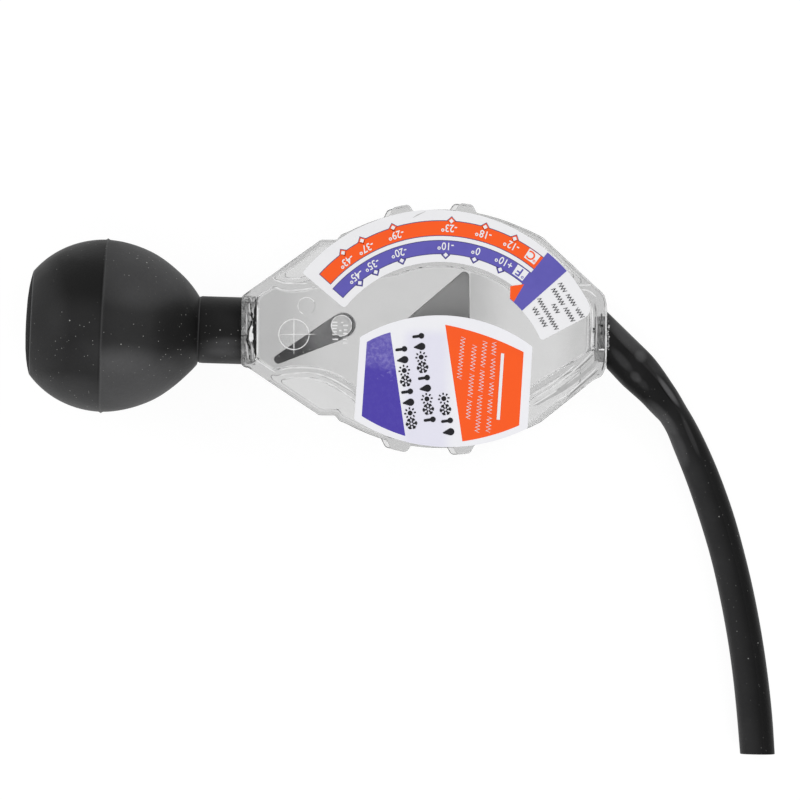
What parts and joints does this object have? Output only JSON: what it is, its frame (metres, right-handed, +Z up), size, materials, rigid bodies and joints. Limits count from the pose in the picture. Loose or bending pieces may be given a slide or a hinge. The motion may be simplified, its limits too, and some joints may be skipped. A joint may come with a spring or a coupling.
{
  "type": "antifreeze tester",
  "caption": "Dial antifreeze and coolant tester with squeeze bulb, flat clear two-shell body, swinging pointer float, level indicator and rubber hose.",
  "frame": {"origin": "on the table, under the middle of the box round the bulb and the body, without the hose", "axes": "+X from the bulb toward the hose, +Z up from the table with the dial facing up, +Y toward the scale's outer edge"},
  "size_m": [0.2267, 0.1648, 0.0519],
  "materials": {
    "bulb_rubber": "matt black rubber",
    "hose_rubber": "satin black rubber",
    "clear_plastic": "clear, slightly frosted moulding",
    "clear_glue": "crackled clear glue",
    "label": "satin printed film",
    "grey_plastic": "matt",
    "dark_plastic": "matt",
    "steel": "plain wire",
    "brass": "plain"
  },
  "bodies": {
    "tester": {"squeeze_bulb": "bulb_rubber", "bulb_seal": "clear_glue", "front_cover": "clear_plastic", "rear_shell": "clear_plastic", "scale_label": "label", "name_label": "label", "pointer_pin": "steel", "level_pin": "steel", "hose_seal": "clear_glue", "hose": "hose_rubber"},
    "pointer": {"float_pointer": "grey_plastic", "pointer_weight": "brass"},
    "level": {"level_indicator": "dark_plastic"}
  },
  "joints": [
    {"name": "pointer_swing", "type": "hinge", "parent": "tester", "child": "pointer", "pos_m": [0.03705, -0.01635, 0.01671], "axis": [0.0911, 0, 0.9958], "range_deg": [-29.8, 53.2]},
    {"name": "level_swing", "type": "hinge", "parent": "tester", "child": "level", "pos_m": [0.00793, 0.0008, 0.01937], "axis": [0.0911, 0, 0.9958], "range_deg": [-53, 5]}
  ]
}
